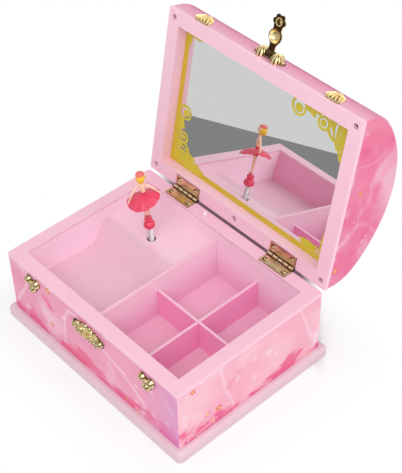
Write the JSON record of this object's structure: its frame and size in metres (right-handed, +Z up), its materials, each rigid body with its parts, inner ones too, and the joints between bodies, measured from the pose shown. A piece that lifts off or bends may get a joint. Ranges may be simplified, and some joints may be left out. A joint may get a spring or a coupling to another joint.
{
  "type": "wind up music box",
  "caption": "Wind-up music box with a domed mirror lid on hinges, a sprung dancer that turns and folds, a divided tray, a hasp and a geared comb movement wound by a key",
  "frame": {"origin": "centre of the plinth's flat underside", "axes": "+Z up, -Y toward the front with the catch, +X to the right; stored with the lid open"},
  "size_m": [0.1788, 0.1917, 0.2084],
  "materials": {
    "pale_plastic": "pale pink, satin",
    "pink_plastic": "pink, satin",
    "printed_plastic": "pink with a printed pattern of roses, satin",
    "trim_brass": "stamped, polished",
    "screw_steel": "plated",
    "mirror_glass": "silvered, with a gold border print",
    "backing_board": "grey board",
    "movement_steel": "plain",
    "movement_brass": "plain",
    "movement_iron": "die cast, plain",
    "fly_plastic": "black",
    "key_metal": "plated",
    "spring_wire": "plain wire",
    "dancer_red": "crimson",
    "dancer_skin": "skin tone, painted"
  },
  "bodies": {
    "case": {"base_plinth": "pale_plastic", "body_shell": "printed_plastic", "inner_tray": "pink_plastic", "partition": "pink_plastic", "divider_long": "pink_plastic", "divider_short": "pink_plastic", "base_screws": "screw_steel", "rim_pins": "screw_steel", "hinge_box_leaf_left": "trim_brass", "hinge_box_leaf_right": "trim_brass", "hinge_pin_left": "trim_brass", "hinge_pin_right": "trim_brass", "hinge_box_screws": "screw_steel", "catch_plate": "trim_brass", "box_clip_left": "trim_brass", "box_clip_right": "trim_brass", "box_nails": "trim_brass", "bedplate": "movement_iron", "barrel_bracket": "movement_steel", "cylinder_bridge": "movement_steel", "bridge_pillars": "movement_steel", "comb_block": "movement_iron", "comb": "movement_steel", "comb_screws": "screw_steel", "governor_bracket": "movement_steel", "click_spring": "movement_steel", "movement_screws": "screw_steel"},
    "lid": {"lid_shell": "printed_plastic", "lid_frame": "pale_plastic", "mirror": "mirror_glass", "mirror_backing": "backing_board", "lid_screws": "screw_steel", "hinge_lid_leaf_left": "trim_brass", "hinge_lid_leaf_right": "trim_brass", "hinge_lid_screws": "screw_steel", "hasp_bracket": "trim_brass", "hasp_pin": "trim_brass", "lid_clip_left": "trim_brass", "lid_clip_right": "trim_brass", "lid_nails": "trim_brass"},
    "hasp": {"hasp_flap": "trim_brass"},
    "key": {"winding_key": "key_metal", "winding_arbor": "movement_steel", "ratchet_wheel": "movement_steel"},
    "barrel": {"spring_barrel": "movement_steel", "barrel_cover": "movement_steel", "mainspring": "movement_steel"},
    "cylinder": {"tune_cylinder": "movement_brass", "cylinder_gear": "movement_brass", "spindle": "movement_steel"},
    "governor": {"governor_wheel": "movement_brass"},
    "fly": {"worm_shaft": "movement_steel", "fly": "fly_plastic"},
    "stop": {"stop_pin": "screw_steel", "stop_lever": "screw_steel"},
    "dancer_tilt": {"dancer_spring": "spring_wire"},
    "dancer": {"dancer_pedestal": "dancer_red", "dancer_figure": "dancer_skin", "dancer_skirt": "dancer_red"}
  },
  "joints": [
    {"name": "lid_hinge", "type": "hinge", "parent": "case", "child": "lid", "pos_m": [0, 0.063, 0.0595], "axis": [1, 0, 0], "range_deg": [0, 101.3]},
    {"name": "hasp_flip", "type": "hinge", "parent": "lid", "child": "hasp", "pos_m": [0, 0.09616, 0.18463], "axis": [1, 0, 0], "range_deg": [-70, 100]},
    {"name": "key_turn", "type": "hinge", "parent": "case", "child": "key", "pos_m": [-0.0387, 0.0622, 0.022], "axis": [0, 1, 0], "continuous": true},
    {"name": "barrel_turn", "type": "hinge", "parent": "case", "child": "barrel", "pos_m": [-0.0387, 0.041, 0.022], "axis": [0, 1, 0], "continuous": true},
    {"name": "cylinder_turn", "type": "hinge", "parent": "case", "child": "cylinder", "pos_m": [-0.0387, 0.0236, 0.033], "axis": [0, 0, 1], "continuous": true},
    {"name": "governor_turn", "type": "hinge", "parent": "case", "child": "governor", "pos_m": [-0.0252, 0.0236, 0.033], "axis": [0, 0, 1], "continuous": true},
    {"name": "fly_turn", "type": "hinge", "parent": "case", "child": "fly", "pos_m": [-0.01805, 0.0236, 0.025], "axis": [0, 1, 0], "continuous": true},
    {"name": "stop_slide", "type": "slide", "parent": "case", "child": "stop", "axis": [0, 0, 1], "range_m": [-0.0024, 0]},
    {"name": "dancer_fold", "type": "hinge", "parent": "case", "child": "dancer_tilt", "pos_m": [-0.0387, 0.0236, 0.0525], "axis": [1, 0, 0], "range_deg": [0, 88], "deforming": ["dancer_spring"]},
    {"name": "dancer_spin", "type": "hinge", "parent": "dancer_tilt", "child": "dancer", "pos_m": [-0.0387, 0.0236, 0.051], "axis": [-0.1119, -0.0331, 0.9932], "continuous": true}
  ],
  "couplings": [
    {"joint": "cylinder_turn", "follows": "barrel_turn", "ratio": -1.2941},
    {"joint": "governor_turn", "follows": "barrel_turn", "ratio": 2.2},
    {"joint": "fly_turn", "follows": "barrel_turn", "ratio": -39.6},
    {"joint": "dancer_spin", "follows": "barrel_turn", "ratio": -1.2941},
    {"joint": "dancer_fold", "follows": "lid_hinge", "ratio": 0.8687},
    {"joint": "stop_slide", "follows": "lid_hinge", "m_per_rad": -0.0013574}
  ]
}
